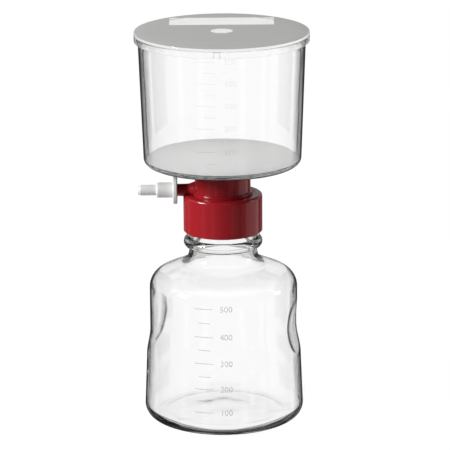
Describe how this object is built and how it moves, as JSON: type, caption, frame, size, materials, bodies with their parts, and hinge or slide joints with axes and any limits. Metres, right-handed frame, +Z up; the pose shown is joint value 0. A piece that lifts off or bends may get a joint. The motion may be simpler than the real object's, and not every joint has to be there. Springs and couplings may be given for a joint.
{
  "type": "vacuum filtration unit",
  "caption": "Lidded feed cup with a flat membrane in its floor, on a red collar with a vacuum side arm, screwed to a waisted clear receiver bottle.",
  "frame": {"origin": "centre of the bottle's foot, on the surface that it stands on", "axes": "+Z up along the common axis of bottle, collar, cup and lid; the vacuum side arm points along -X; -Y is the front"},
  "size_m": [0.1068, 0.1068, 0.2441],
  "materials": {
    "clear_bottle": "clear moulded polystyrene, glossy",
    "clear_cup": "clear moulded polystyrene, glossy",
    "clear_plate": "clear ribbed moulding",
    "frosted_lid": "clear moulding, frosted on top with polished fields",
    "red_plastic": "smooth semi-gloss moulding",
    "white_plastic": "smooth satin moulding",
    "seal": "soft satin elastomer",
    "cotton": "loose matt fibre",
    "membrane": "matt, very fine pores"
  },
  "bodies": {
    "bottle": {"bottle": "clear_bottle"},
    "gasket": {"gasket": "seal"},
    "filter_head": {"collar": "red_plastic", "feed_cup": "clear_cup", "support_plate": "clear_plate", "membrane": "membrane", "cotton_plug": "cotton"},
    "hose_adapter": {"hose_adapter": "white_plastic"},
    "lid": {"lid": "frosted_lid"}
  },
  "joints": [
    {"name": "head_rise", "type": "slide", "parent": "bottle", "child": "gasket", "axis": [0, 0, 1], "range_m": [0, 0.0061]},
    {"name": "head_turn", "type": "hinge", "parent": "gasket", "child": "filter_head", "pos_m": [0, 0, 0.14], "axis": [0, 0, 1], "range_deg": [0, 540]},
    {"name": "adapter_pull", "type": "slide", "parent": "filter_head", "child": "hose_adapter", "axis": [-1, 0, 0], "range_m": [0, 0.025]},
    {"name": "lid_lift", "type": "slide", "parent": "filter_head", "child": "lid", "axis": [0, 0, 1], "range_m": [0, 0.06]}
  ],
  "couplings": [
    {"joint": "head_rise", "follows": "head_turn", "m_per_rad": 0.00063662}
  ]
}
